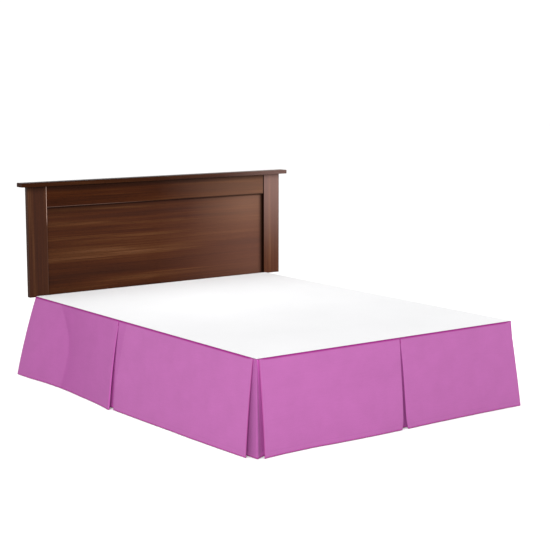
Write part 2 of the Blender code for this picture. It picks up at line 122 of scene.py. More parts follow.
# The hem of an underlay by its places out from the box spring's side and foot, and its top edge,
# which has the level too
INSERT_HEM = {
    "left": ((0.028, -INSERT_ARM), (0.030, -0.062), (0.031, -0.022), (0.029, 0.048), (-0.020, 0.024),
             (-0.060, 0.018), (-INSERT_ARM, 0.016)),
    "right": ((0.015, -INSERT_ARM), (0.016, -0.062), (0.017, -0.022), (0.018, 0.022), (-0.020, 0.014),
              (-0.060, 0.013), (-INSERT_ARM, 0.012)),
}
INSERT_TOP = (
    (-INSERT_SET, -INSERT_ARM, DROP_TOP),
    (-INSERT_SET, INSERT_TUCK - SIDE_NOTCH, DROP_TOP),
    (-INSERT_SET, INSERT_SHOULDER - SIDE_NOTCH, SEAM_LEVEL),
    (-INSERT_SET, -INSERT_SET, SEAM_LEVEL),
    (INSERT_SHOULDER - FOOT_NOTCH, -INSERT_SET, SEAM_LEVEL),
    (INSERT_TUCK - FOOT_NOTCH, -INSERT_SET, DROP_TOP),
    (-INSERT_ARM, -INSERT_SET, DROP_TOP),
)

THREAD_PITCH = 0.0026  # drawn some five times coarser than the real weave, so that it shows
STITCHES_A_METRE = 180.0  # half as many as there really are
STITCH_SHARE = 0.62
STITCH_INSET = 0.0015
STITCH_WIDTH = 0.0012
RIB_PITCH = 0.0045  # drawn three times coarser than it is
STRIPE_PITCH = 0.048
# the veneer's tones, by the place in its figure
WALNUT_TONES = ((0.39, "#270F05"), (0.45, "#301406"), (0.49, "#361706"), (0.53, "#3A1B08"),
                (0.58, "#452610"), (0.65, "#583822"))

WELT_INSET = 0.022
RIVET_HEIGHTS = (0.163, 0.178)
BOLT_HEIGHTS = (0.150, 0.470, 0.560, 0.690)

# the camera, from the skirt's own straight lines in the photo
PHOTO_PIXELS = 550
FOCAL_PIXELS = 1380.6
CAMERA_PLACE = (-4.0695, -5.6346, 1.6126)  # from the middle of the bed, on the floor
CAMERA_PITCH, CAMERA_YAW = 0.1461, 0.6353
SENSOR_WIDTH = 36.0  # in millimetres


# ---------------------------------------------------------------- settings in the sidebar
def colour_of(text):
    """Linear colour from an sRGB hex value."""
    parts = [int(text[i:i + 2], 16) / 255 for i in (1, 3, 5)]
    return (*(p / 12.92 if p <= 0.04045 else ((p + 0.055) / 1.055) ** 2.4 for p in parts), 1.0)


def colour_setting(label, text, says):
    return FloatVectorProperty(name=label, description=says, subtype="COLOR", size=4, min=0, max=1,
                               default=colour_of(text))


def length_setting(label, value, says):
    return FloatProperty(name=label, description=says, default=value, min=0.0, unit="LENGTH",
                         subtype="DISTANCE", precision=4)


def power_setting(label, value, says):
    return FloatProperty(name=label, description=says, default=value, min=0.0, unit="POWER")


class SkirtSettings(PropertyGroup):
    cloth: length_setting("Cloth", 0.0008, "Thickness of the orchid cloth")
    hem: length_setting("Hem", 0.0018, "Thickness of a hem, which is turned in twice")
    hem_depth: length_setting("Hem depth", 0.025, "Height of the bottom hem")
    side_hem: length_setting("Side hem", 0.018, "Width of the hem at a free end")
    pitch: length_setting("Mesh pitch", 0.008, "Distance between the lines of the cloth's mesh")
    ripple: length_setting("Ripple", 0.0016, "Depth of the soft unevenness of the hanging cloth")
    crease: length_setting("Crease", 0.0240, "Depth of the fold mark near the head end")
    orchid: colour_setting("Orchid", "#904F84", "Colour of the drops")
    # painted shade: the colour mixed in along the top seam in place of its shadow
    seam_shadow_orchid: colour_setting("Deep orchid", "#750F5F", "Colour in the seams")
    # partly the doubled cloth's own colour, partly painted shade along the turned edges
    edge_and_shade_orchid: colour_setting("Edge orchid", "#84256A", "Colour along the turned edges")
    # painted light: the clearer pink that stands in for light inside the pleats
    painted_light_orchid: colour_setting("Inner orchid", "#B04D9D", "Colour where light comes through")
    thread: colour_setting("Thread", "#7E4174", "Colour of the stitches")


class DeckSettings(PropertyGroup):
    cloth: length_setting("Cloth", 0.0007, "Thickness of the deck cloth")
    pitch: length_setting("Mesh pitch", 0.013, "Distance between the lines of the cloth's mesh")
    rumple: length_setting("Rumple", 0.0009, "Depth of the deck's soft wrinkles")
    white: colour_setting("White", "#C9C9CA", "Colour of the deck cloth")


class BedSettings(PropertyGroup):
    welt: length_setting("Welt", 0.0030, "Radius of the piping round the box spring")
    ticking: colour_setting("Ticking", "#DAD7CF", "Colour of the box spring's cover")
    steel: colour_setting("Steel", "#36373A", "Colour of the powder coated bed frame")


class StageSettings(PropertyGroup):
    sky: FloatProperty(name="Surround", description="Strength of the even white light", default=1.08,
                       min=0)
    front: power_setting("Front light", 905.0, "Power of the soft light at the front left")
    side: power_setting("Side light", 100.0, "Power of the soft fill on the right")
    board: power_setting("Board light", 2.8, "Power of the gridded light on the headboard")
    top: power_setting("Top light", 2.8, "Power of the gridded light over the head end")


# ---------------------------------------------------------------- small helpers
def select_only(*chosen):
    """Selects nothing but these objects, the last of them active."""
    bpy.ops.object.select_all(action="DESELECT")
    for made in chosen:
        made.select_set(True)
        bpy.context.view_layer.objects.active = made


def primitive(start, name, **settings):
    """A primitive that start adds, named, with its place, turn and size in its mesh."""
    select_only()
    start(**settings)
    made = bpy.context.object
    made.name = made.data.name = name
    bpy.ops.object.transform_apply(location=True, rotation=True, scale=True)
    return made


def primitive_box(name, low, high):
    return primitive(bpy.ops.mesh.primitive_cube_add, name, size=1.0, location=(low + high) / 2,
                     scale=high - low)


def put_in_scene(name, data):
    made = bpy.data.objects.new(name, data)
    bpy.context.collection.objects.link(made)
    return made


def set_inputs(tree, node, inputs):
    """Gives a node's inputs, by name or number, values, sockets or other nodes' first outputs."""
    for key, value in inputs.items():
        if isinstance(value, bpy.types.Node):
            value = next(socket for socket in value.outputs if socket.enabled)
        if isinstance(value, bpy.types.NodeSocket):
            tree.links.new(value, node.inputs[key])
        else:
            node.inputs[key].default_value = value


def add(tree, kind, inputs=(), **settings):
    """A shader node with its settings.  Its inputs are given by name, or in their order: a value
    and what it is mapped from and to, or the terms of a sum."""
    made = tree.nodes.new("ShaderNode" + kind)
    for key, value in settings.items():
        setattr(made, key, value)
    set_inputs(tree, made, inputs if isinstance(inputs, dict) else dict(enumerate(inputs)))
    return made


def new_material(name):
    """A material, and the function that adds a node to it."""
    made = bpy.data.materials.new(name)
    made.use_nodes = True
    return made, partial(add, made.node_tree)


def surface(made, inputs, height, strength, distance):
    """Sets a material's shader, with a bump from a height and its distance in metres."""
    tree = made.node_tree
    bump = add(tree, "Bump", {"Height": height, "Strength": strength, "Distance": distance})
    set_inputs(tree, tree.nodes["Principled BSDF"], {**inputs, "Normal": bump})
    return made


def mix(low, high, share):
    return low + (high - low) * share


def soft_step(value):
    value = min(max(value, 0.0), 1.0)
    return value * value * (3 - 2 * value)


def curve_through(table, at):
    """A smooth value at a place along a table of (at, value) rows."""
    if not table[0][0] < at < table[-1][0]:
        return table[0 if at <= table[0][0] else -1][1]
    i = next(i for i, row in enumerate(table) if at <= row[0])
    last = len(table) - 1
    before, (a, low), (b, high), after = (table[min(max(j, 0), last)] for j in range(i - 2, i + 2))
    slope_in = (high - before[1]) / (b - before[0])
    slope_out = (after[1] - low) / (after[0] - a)
    t, width = (at - a) / (b - a), b - a
    return (low * (1 + 2 * t) * (1 - t) ** 2 + high * t * t * (3 - 2 * t)
            + slope_in * width * t * (1 - t) ** 2 - slope_out * width * t * t * (1 - t))


def flare(share):
    return share * (1 + FLARE_BEND * (1 - share))


def spring_corner(sx, sy):
    return SPRING_HIGH.x if sx > 0 else SPRING_LOW.x, SPRING_HIGH.y if sy > 0 else SPRING_LOW.y


# ---------------------------------------------------------------- materials
def scale_for(millimetres):
    """A texture's scale for a pattern of this size."""
    return 1000 / millimetres


def plain_weave(node, place):
    """Height of a plain weave, 0 to 1, from a place on the cloth in metres."""
    per_metre = 2 * pi / 20 / THREAD_PITCH  # a wave texture turns 20 radians a unit
    across, down = (
        node("TexWave", {"Vector": place, "Scale": per_metre, "Distortion": 1.2, "Detail": 1.0,
                         "Detail Scale": 0.15}, wave_type="BANDS", bands_direction=axis).outputs["Fac"]
        for axis in "XY")
    over = node("TexChecker", {"Vector": place, "Scale": 1 / THREAD_PITCH}).outputs["Fac"]
    return node("Mix", {"Factor": over, "A": across, "B": down})


def orchid_cotton(skirt, cut="drops", depth=1.0):
    """Cotton and polyester sheeting, plain woven and piece dyed orchid: matt with a faint sheen and
    a fine even weave with slubs.  Deeper along the seam, which is painted shade for the crease
    between deck and drop, and along the turned edges, partly the doubled cloth and partly painted
    shade; darker and purer in colour where it turns from the light, which is painted shade too.
    depth scales its value: the underlays' 0.87 is painted shade for their place behind the flaps."""
    made, node = new_material(f"piece dyed orchid sheeting, plain woven: {cut}")
    cloth = node("UVMap", uv_map="cloth")
    place = node("Attribute", attribute_name="from_edges").outputs["Vector"]
    from_hem, from_end, from_seam = node("SeparateXYZ", (place,)).outputs
    weave = plain_weave(node, cloth)

    # the last distance is counted from the inner edge of the seam allowance
    from_seam = node("Math", (from_seam, SEAM_WIDTH - SEAM_RADIUS + 0.0050), operation="SUBTRACT")
    # painted shade: the last of these darkens the cloth along the seam, in place of the shadow in the
    # crease between deck and drop
    hem_edge, end_edge, painted_seam_shadow = (
        node("MapRange", (away, 0.0, reach, strength, 0.0), interpolation_type="SMOOTHSTEP")
        for away, reach, strength in ((from_hem, 0.0078, 0.88), (from_end, 0.0070, 0.60),
                                      (from_seam, 0.0085, 1.0)))
    # the turned edges deepen partly for the doubled cloth and partly as painted shade
    turned_edge_and_shade = node("Math", (hem_edge, end_edge), operation="MAXIMUM")

    # two rows of lock stitch, drawn twice their real length
    rows = []
    across, down, _ = node("SeparateXYZ", (cloth,)).outputs
    for run, away, hem in ((across, from_hem, skirt.hem_depth), (down, from_end, skirt.side_hem)):
        turns = node("Math", (run, STITCHES_A_METRE), operation="MULTIPLY")
        turns = node("Math", (turns,), operation="FRACT")
        dash = node("Math", (turns, STITCH_SHARE), operation="LESS_THAN")
        off = node("Math", (away, hem - STITCH_INSET), operation="SUBTRACT")
        off = node("Math", (off,), operation="ABSOLUTE")
        line = node("MapRange", (off, 0.0, STITCH_WIDTH, 1.0, 0.0), interpolation_type="SMOOTHSTEP")
        rows.append(node("Math", (line, dash), operation="MULTIPLY"))
    stitch = node("Math", rows, operation="MAXIMUM")

    mottle = node("TexNoise", {"Vector": cloth, "Scale": scale_for(111.1), "Detail": 5.0,
                               "Roughness": 0.6})
    # slubs are some 70 mm long and 4 mm wide
    stretched = node("Mapping", {"Vector": cloth, "Scale": (scale_for(71.43), scale_for(3.846), 1.0)})
    slub = node("TexNoise", {"Vector": stretched, "Scale": 1.0, "Detail": 2.0})
    # painted shade: darker and purer in colour where the cloth turns from the light, just beyond the left
    # drop's crease and inside the foot pleat
    painted_shade_share = node("Attribute", attribute_name="painted_shade").outputs["Fac"]
    value = node("Math", (painted_shade_share, -0.115, depth), operation="MULTIPLY_ADD")
    for tone in ((mottle, 0.3, 0.7, 0.955, 1.03), (slub, 0.35, 0.65, 0.985, 1.012),
                 (weave, 0.0, 1.0, 0.94, 1.03)):
        value = node("Math", (value, node("MapRange", tone)), operation="MULTIPLY")
    painted_shade_saturation = node("Math", (painted_shade_share, 0.075, 1.3 - 0.3 * depth), operation="MULTIPLY_ADD")
    colour = node("HueSaturation", {"Color": skirt.orchid, "Value": value, "Saturation": painted_shade_saturation})

    # painted light: a clearer pink, standing in for the light that comes through the thin sheeting, is
    # mixed in inside a pleat and on the underlays' arms
    behind = node("Attribute", attribute_name="tucked").outputs["Fac"]
    lit = node("Math", (behind, 0.9), operation="MULTIPLY")
    sewn = node("Math", (stitch, 0.6), operation="MULTIPLY")
    for share, tint in ((lit, skirt.painted_light_orchid), (turned_edge_and_shade, skirt.edge_and_shade_orchid),
                        (painted_seam_shadow, skirt.seam_shadow_orchid), (sewn, skirt.thread)):
        colour = node("Mix", {"Factor": share, "A": colour, "B": tint}, data_type="RGBA")
    height = 0.0
    for part, share in ((stitch, 0.8), (slub, 0.4), (weave, 0.6)):
        height = node("Math", (part, share, height), operation="MULTIPLY_ADD")
    rough = node("MapRange", (weave, 0.0, 1.0, 0.92, 0.84))
    return surface(made, {"Base Color": colour, "Roughness": rough, "IOR": 1.46,
                          "Specular IOR Level": 0.15, "Sheen Weight": 0.03, "Sheen Roughness": 0.6,
                          "Sheen Tint": (1.0, 0.75, 0.95, 1.0)}, height, 0.35, 0.0004)


def platform_cloth(deck):
    """White lining cloth, plain woven and unfinished: dead matt, almost bright white, with the
    weave just felt and a greyer band where its seam allowance lies double at the rim."""
    made, node = new_material("white lining cloth, plain woven")
    cloth = node("UVMap", uv_map="cloth")
    place = node("Attribute", attribute_name="from_edges").outputs["Vector"]
    from_rim = node("SeparateXYZ", (place,)).outputs["X"]
    weave = plain_weave(node, cloth)
    mottle = node("TexNoise", {"Vector": cloth, "Scale": scale_for(333.3), "Detail": 4.0})
    # the seam allowance shows faintly through the cloth, 18 mm in from the edge
    value = node("MapRange", (from_rim, SEAM_WIDTH - 0.002, SEAM_WIDTH + 0.001, 0.985, 1.0),
                 interpolation_type="SMOOTHSTEP")
    for tone in ((mottle, 0.3, 0.7, 0.97, 1.0), (weave, 0.0, 1.0, 0.985, 1.0)):
        value = node("Math", (value, node("MapRange", tone)), operation="MULTIPLY")
    colour = node("HueSaturation", {"Color": deck.white, "Value": value})
    return surface(made, {"Base Color": colour, "Roughness": 0.92, "Specular IOR Level": 0.2,
                          "Sheen Weight": 0.06}, weave, 0.3, 0.0003)


def box_spring_ticking(bed):
    """Woven polyester ticking, off-white with a faint stripe: matt, slightly ribbed upright."""
    made, node = new_material("off-white ticking, woven with a stripe")
    place = node("TexCoord").outputs["Object"]
    x, y, _ = node("SeparateXYZ", (place,)).outputs
    around = node("Math", (x, y), operation="ADD")
    turns = node("Math", (around, 2 * pi / RIB_PITCH), operation="MULTIPLY")
    rib = node("Math", (turns,), operation="SINE")
    stripe = node("Math", (around, STRIPE_PITCH), operation="PINGPONG")
    stripe = node("MapRange", (stripe, 0.004, 0.0052), interpolation_type="SMOOTHSTEP")
    fuzz = node("TexNoise", {"Vector": place, "Scale": scale_for(2.381), "Detail": 2.0})
    tone = node("MapRange", (fuzz, 0.0, 1.0, 0.93, 1.04))
    woven = node("HueSaturation", {"Color": bed.ticking, "Value": tone})
    colour = node("Mix", {"Factor": stripe, "A": colour_of("#B4B2B4"), "B": woven}, data_type="RGBA")
    height = node("Math", (rib, fuzz), operation="ADD")
    return surface(made, {"Base Color": colour, "Roughness": 0.9}, height, 0.35, 0.0003)


def powder_coated_steel(bed):
    """Rolled steel, powder coated dark grey: satin with a fine orange peel."""
    made, node = new_material("powder coated steel, dark grey satin")
    place = node("TexCoord").outputs["Object"]
    peel = node("TexNoise", {"Vector": place, "Scale": scale_for(2.632), "Detail": 2.0})
    dust = node("TexNoise", {"Vector": place, "Scale": scale_for(71.43), "Detail": 6.0})
    tone = node("MapRange", (dust, 0.3, 0.7, 0.85, 1.2))
    colour = node("HueSaturation", {"Color": bed.steel, "Value": tone})
    rough = node("MapRange", (dust, 0.0, 1.0, 0.38, 0.56))
    return surface(made, {"Base Color": colour, "Roughness": rough}, peel, 0.3, 0.0004)


def even_finish(name, texture, sizes, dark, light, roughness, bump, **constants):
    """A finish with one fine grain, which shades its colour, and its roughness where that is a
    pair, and gives its bump."""
    made, node = new_material(name)
    grain = node(texture, {"Vector": node("TexCoord").outputs["Object"], **sizes})
    colour = node("Mix", {"Factor": grain, "A": colour_of(dark), "B": colour_of(light)}, data_type="RGBA")
    if isinstance(roughness, tuple):
        roughness = node("MapRange", (grain, 0.0, 1.0, *roughness))
    return surface(made, {"Base Color": colour, "Roughness": roughness, **constants}, grain, *bump)


def dust_cover():
    """Spun-bonded polypropylene under the box spring: black, dull, embossed with tiny dimples."""
    return even_finish("black spun-bonded dust cover", "TexVoronoi", {"Scale": scale_for(3.846)},
                       "#17171A", "#232327", 0.8, (0.3, 0.0003))


def blacked_steel():
    """Bolts and rivets, blacked and oiled: dark bare metal with a dull shine."""
    return even_finish("blacked steel fastener", "TexNoise",
                       {"Scale": scale_for(1.667), "Detail": 3.0}, "#3E3D3E", "#5B5957",
                       (0.35, 0.5), (0.2, 0.0002), Metallic=1.0)


def moulded_plastic():
    """Polyethylene glides and corner guards, moulded black: even, with a fine spark texture."""
    return even_finish("moulded black polyethylene", "TexNoise", {"Scale": scale_for(1.111)},
                       "#1B1B1D", "#29292B", 0.48, (0.25, 0.0003), IOR=1.51)


def paper_floor():
    """Uncoated white paper: dead matt, almost even, with a trace of its felt."""
    return even_finish("matt white paper floor", "TexNoise", {"Scale": scale_for(3.333)},
                       "#F8F8F8", "#FAFAFA", 0.95, (0.05, 0.0002), **{"Specular IOR Level": 0.1})


def walnut_veneer(name, grain, seed, pale=0.0, depth=1.0, marks=()):
    """Walnut veneer on board, satin lacquered: straight brown grain in reddish and orange bands
    25 to 50 mm wide with fine wavy lines and short open pores, and a soft gloss over it.  grain
    is the axis it runs along, pale is how much lighter and greyer a board is than the rest, painted
    sheen added to the gradient towards the right, and depth scales its value, partly the board's
    own tone and partly painted shade.  marks are its lines, (axis, place, reach, colour, strength)
    and perhaps (axis, from, to) where they fade in: painted highlights on arrises, painted shadows,
    painted shade and sheen, and dark joints."""
    made, node = new_material(name)
    place = node("TexCoord").outputs["Object"]
    axes = node("SeparateXYZ", (place,)).outputs

    def noise_along(along, across, detail, twist, shift):
        """Noise with its own sizes along and across the grain, in metres."""
        scale = {"X": (1 / along, 1 / across, 1 / across), "Z": (1 / across, 1 / across, 1 / along)}[grain]
        turned = node("Mapping", {"Vector": place, "Scale": scale,
                                  "Location": (seed * 3.7 + shift, seed * 1.9, seed * 5.3)})
        return node("TexNoise", {"Vector": turned, "Scale": 1.0, "Detail": detail, "Roughness": 0.55,
                                 "Distortion": twist})

    bands = noise_along(1.30, 0.036, 3.0, 0.25, 0.0)
    wide = noise_along(2.40, 0.120, 2.0, 0.2, 11.0)
    lines = noise_along(0.60, 0.0055, 4.0, 0.5, 23.0)
    pores = noise_along(0.028, 0.0022, 1.0, 0.0, 37.0)
    figure = 0.0
    for part, share in ((lines, 0.17), (wide, 0.38), (bands, 0.45)):
        figure = node("Math", (part, share, figure), operation="MULTIPLY_ADD")
    veneer = node("ValToRGB", (figure,))
    stops = veneer.color_ramp.elements
    for i, (position, text) in enumerate(WALNUT_TONES):
        stop = stops[i] if i < 2 else stops.new(position)  # a ramp starts with two stops
        stop.position, stop.color = position, colour_of(text)
    pore = node("MapRange", (pores, 0.60, 0.70, 1.0, 0.72))
    fine = node("MapRange", (lines, 0.3, 0.7, 0.85, 1.12))
    relief = node("Math", (pore, fine), operation="MULTIPLY")
    value = node("Math", (relief, depth), operation="MULTIPLY")
    veneer = node("HueSaturation", {"Color": veneer, "Value": value})
    # painted sheen: the veneer is drawn lighter and greyer towards the bed's right side, where its gloss
    # catches the light
    painted_sheen_to_right = node("MapRange", (axes["X"], 0.0, 0.9, pale, 0.17 + pale))
    colour = node("Mix", {"Factor": painted_sheen_to_right, "A": veneer, "B": colour_of("#7A5A50")}, data_type="RGBA")
    for axis, at, reach, text, strength, *limits in marks:
        away = node("Math", (axes[axis], at), operation="SUBTRACT")
        away = node("Math", (away,), operation="ABSOLUTE")
        line = node("MapRange", (away, 0.0, reach, strength, 0.0), interpolation_type="SMOOTHSTEP")
        for fade_axis, start, stop in limits:
            seen = node("MapRange", (axes[fade_axis], start, stop))
            line = node("Math", (line, seen), operation="MULTIPLY")
        colour = node("Mix", {"Factor": line, "A": colour, "B": colour_of(text)}, data_type="RGBA")
    # the rear of every board has a plain balancing paper
    normal = node("NewGeometry").outputs["Normal"]
    rear = node("MapRange", (node("SeparateXYZ", (normal,)).outputs["Y"], 0.90, 0.95))
    paper = node("HueSaturation", {"Color": colour_of("#4C3427"), "Value": fine})
    colour = node("Mix", {"Factor": rear, "A": colour, "B": paper}, data_type="RGBA")
    rough = node("MapRange", (lines, 0.0, 1.0, 0.34, 0.46))
    return surface(made, {"Base Color": colour, "Roughness": rough, "IOR": 1.5,
                          "Specular IOR Level": 0.03}, relief, 0.12, 0.0004)


# ---------------------------------------------------------------- cloth
# One line down a drop, as in its cut: its place at the top and at the hem, how far its hem hangs
# out, how far it lies behind the outer layer, how far the pleat's opening moves it, whether it has
# seam allowance, how much the soft unevenness moves it, how far its allowance leans over at a
# mitre, and how far it is tucked in behind another layer.
Line = namedtuple("Line", "top hem out back bow seam ripple mitre tucked",
                  defaults=((0.0, 0.0), 0.0, False, 0.0, 0.0, 1.0))


def panel_lines(table, way, top_ends, hem_ends, bow, mitred, skirt):
    """The outer layer on one side of the pleat, way telling which; its lines stand closer at the
    free end's hem."""
    length, hem = top_ends[1] - top_ends[0], skirt.side_hem
    count = round(length / skirt.pitch)
    places = {i / count for i in range(count + 1)}
    for reach in (0.0006, 0.0015, 0.004, hem - 0.003, hem - STITCH_INSET, hem, hem + 0.0012):
        places.add(reach / length if way < 0 else 1 - reach / length)
    lines = []
    for share in sorted(places):
        from_free = share if way < 0 else 1 - share
        # the seam allowance is mitred at a corner: it leans in, less and less away from the end
        lean = -way * mitred * max(0, 1 - from_free * length / MITRE)
        inside = min(share, 1 - share) * length
        at_hem = mix(*hem_ends, share)
        lines.append(Line(mix(*top_ends, share), at_hem, curve_through(table, at_hem),
                          bow=way * bow * from_free**2, seam=True, mitre=lean,
                          ripple=soft_step((inside - 0.02) / 0.16), tucked=0.0))
    return lines


def fold(edges, table, start, radii, way, bow=0.0):
    """A half turn from one layer to the next behind it; pairs are for the top and the hem."""
    turns = []
    out = curve_through(table, edges[1])
    for i in range(FOLD_STEPS + 1):
        angle = pi * i / FOLD_STEPS
        top, hem = (edge + way * (sin(angle) - 1) * radius for edge, radius in zip(edges, radii))
        back = tuple(begin + (1 - cos(angle)) * radius for begin, radius in zip(start, radii))
        turns.append(Line(top, hem, out, back, bow, tucked=1.0 if start[1] else i / FOLD_STEPS))
    return turns


def filled(first, last, table, steps):
    """Lines between two others of one layer, hanging out as the table says."""
    lines = []
    for i in range(1, steps):
        share = i / steps
        hem = mix(first.hem, last.hem, share)
        back = tuple(mix(a, b, share) for a, b in zip(first.back, last.back))
        lines.append(Line(mix(first.top, last.top, share), hem, curve_through(table, hem), back,
                          mix(first.bow, last.bow, share)))
    return lines


def pleat_lines(pleat, before, after, pitch):
    """An inverted pleat: a return behind each panel, and its underlay between the two."""
    top, hem = pleat["top"], pleat["hem"]
    gaps = (PLEAT_GAP_TOP / 2, pleat["gap"] / 2)
    outer = [depth / 2 for depth in RETURN_SET]
    behind = [back + 2 * radius for back, radius in zip(RETURN_SET, INNER_FOLD)]
    steps = round(PLEAT_DEPTH / pitch)

    def half(way, table):
        edges = (top + way * gaps[0], hem + way * gaps[1])
        outside = fold(edges, table, (0, 0), outer, -way, way * gaps[1])
        edges = (top + way * PLEAT_DEPTH, hem + way * PLEAT_DEPTH)
        inside = fold(edges, table, RETURN_SET, INNER_FOLD, way)
        return outside + filled(outside[-1], inside[0], table, steps) + inside

    first, last = half(-1, before), half(1, after)[::-1]
    underlay = []
    for i in range(1, 2 * steps):
        share = i / (2 * steps)
        across = mix(-PLEAT_DEPTH, PLEAT_DEPTH, share)
        back = (behind[0], behind[1] + UNDERLAY_SAG * sin(pi * share))
        underlay.append(Line(top + across, hem + across, mix(first[-1].out, last[0].out, share), back))
    return first + underlay + last


def drop_lines(side, skirt):
    """All lines of a drop from end to end: a panel, the pleat and the other panel."""
    pleat, half = side["pleat"], side["half"]
    top_edge = (PLEAT_GAP_TOP + RETURN_SET[0]) / 2
    hem_edge = (pleat["gap"] + RETURN_SET[1]) / 2
    before, after = (
        panel_lines(table, way, sorted((pleat["top"] + way * top_edge, way * (half - notch))),
                    sorted((pleat["hem"] + way * hem_edge, way * (half + spread))),
                    pleat["gap"] / 2, bool(notch), skirt)
        for table, way, notch, spread in zip(side["hem"], (-1, 1), side["notch"], side["ends"]))
    return before + pleat_lines(pleat, *side["hem"], skirt.pitch)[1:-1] + after


def place_on(side, at, out, height):
    along, away = side["along"], side["out"]
    edge = BED_WIDTH / 2 if away[0] else BED_LENGTH / 2
    x, y = (a * at + b * (edge + out) for a, b in zip(along, away))
    return Vector((x + BED_X, y + BED_Y, height))


def drop_rows(skirt):
    """Shares of the height from the top down: even, and closer in the hem."""
    hem = skirt.hem_depth
    above = round((DROP_HEIGHT - hem) / skirt.pitch)
    rows = [i / above * (1 - hem / DROP_HEIGHT) for i in range(above)]
    rows.insert(1, 0.0025 / DROP_HEIGHT)
    for low in (hem + 0.0012, hem, hem - STITCH_INSET, hem - 0.003, 0.017, 0.011, 0.005, 0.0022, 0.0009,
                0.0):
        rows.append(1 - low / DROP_HEIGHT)
    return rows


def painted_shade(side, at, share):
    """How much painted shade the cloth gets where it lies turned from the light: the head end of the
    left drop, and most of all just beyond its crease."""
    if "crease" not in side or at < side["pleat"]["hem"]:
        return 0.0
    away = at - curve_through(side["crease"], share)
    return 0.35 + 0.65 * exp(away / 0.24) * soft_step((0.012 - away) / 0.03)


def unevenness(side, at, share, skirt):
    """How far the cloth stands off its smooth hang at a place: broad, slanting and very soft."""
    broad = noise.noise(Vector((at * 2.4 + share * 0.5, share * 0.8, side["seed"])))
    narrow = noise.noise(Vector((at * 7.0 - share * 1.1, share * 2.0, side["seed"] + 9)))
    drawn = skirt.ripple * soft_step(share * 1.6) * (1.5 * broad + 0.7 * narrow)
    if "crease" in side:
        away = at - curve_through(side["crease"], share)
        valley = exp(-sqrt(away * away + 0.012**2) / (0.20 if away < 0 else 0.10))
        drawn -= skirt.crease * valley * sin(pi * min(share * 0.95 + 0.03, 1.0))
    return drawn


def thickness_share(low, reach, skirt):
    """Thickness as a share of the hem's, at a height above the hem and a distance from the end."""
    turned_in = low <= skirt.hem_depth + 1e-6 or reach <= skirt.side_hem + 1e-6
    return 1.0 if turned_in else skirt.cloth / skirt.hem


def sheet_object(name, grid, weights, thickness, finish, tucked=(), shades=(), sewn_in=0.0, rim=None):
    """A sheet from a grid of points on its right side, None where there is no cloth.  Its UV map is
    the cloth laid flat, in metres.  from_edges is the distance from hem, free end and seam, where
    sewn_in is the part of the seam allowance that isn't modelled, or else it is what rim says of a
    point.  tucked is for the lines that lie behind another layer and sets their painted light;
    shades is the painted shade at each point."""
    across, middle = [0.0], len(grid[0]) * 2 // 3
    for line, following in zip(grid, grid[1:]):
        across.append(across[-1] + (following[middle] - line[middle]).length)
    places, uvs, edges = [], [], []
    for i, line in enumerate(grid):
        below = [0.0]
        for point, under in zip(line[-2::-1], line[:0:-1]):
            below.append(below[-1] + (0.0 if point is None else (point - under).length))
        from_end = min(across[i], across[-1] - across[i])
        for j, (point, down) in enumerate(zip(line, reversed(below))):
            if point is not None:
                places.append((i, j))
                uvs.append((across[i], down))
                edges += rim(point) if rim else (down, from_end, sewn_in + below[-1] - down)
    index = {place: number for number, place in enumerate(places)}
    faces = []
    for i, j in places:
        corners = ((i, j), (i + 1, j), (i + 1, j + 1), (i, j + 1))
        if all(corner in index for corner in corners):
            faces.append([index[corner] for corner in corners])
    mesh = bpy.data.meshes.new(name)
    mesh.from_pydata([grid[i][j] for i, j in places], [], faces)
    layer = mesh.uv_layers.new(name="cloth")
    for loop in mesh.loops:
        layer.data[loop.index].uv = uvs[loop.vertex_index]
    mesh.attributes.new("from_edges", "FLOAT_VECTOR", "POINT").data.foreach_set("vector", edges)
    for label, values in (("tucked", [tucked[i] for i, j in places] if tucked else ()),
                          ("painted_shade", [shades[i][j] for i, j in places] if shades else ())):
        if values:
            mesh.attributes.new(label, "FLOAT", "POINT").data.foreach_set("value", values)
    sheet = put_in_scene(name, mesh)
    group = sheet.vertex_groups.new(name="cloth thickness")
    for number, (i, j) in enumerate(places):
        group.add([number], weights[i][j], "REPLACE")
    solidify = sheet.modifiers.new("cloth", "SOLIDIFY")
    solidify.thickness, solidify.offset, solidify.use_even_offset = thickness, -1, True
    solidify.vertex_group = group.name
    mesh.materials.append(finish)
    mesh.shade_smooth()
    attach(sheet, "root")
    return sheet


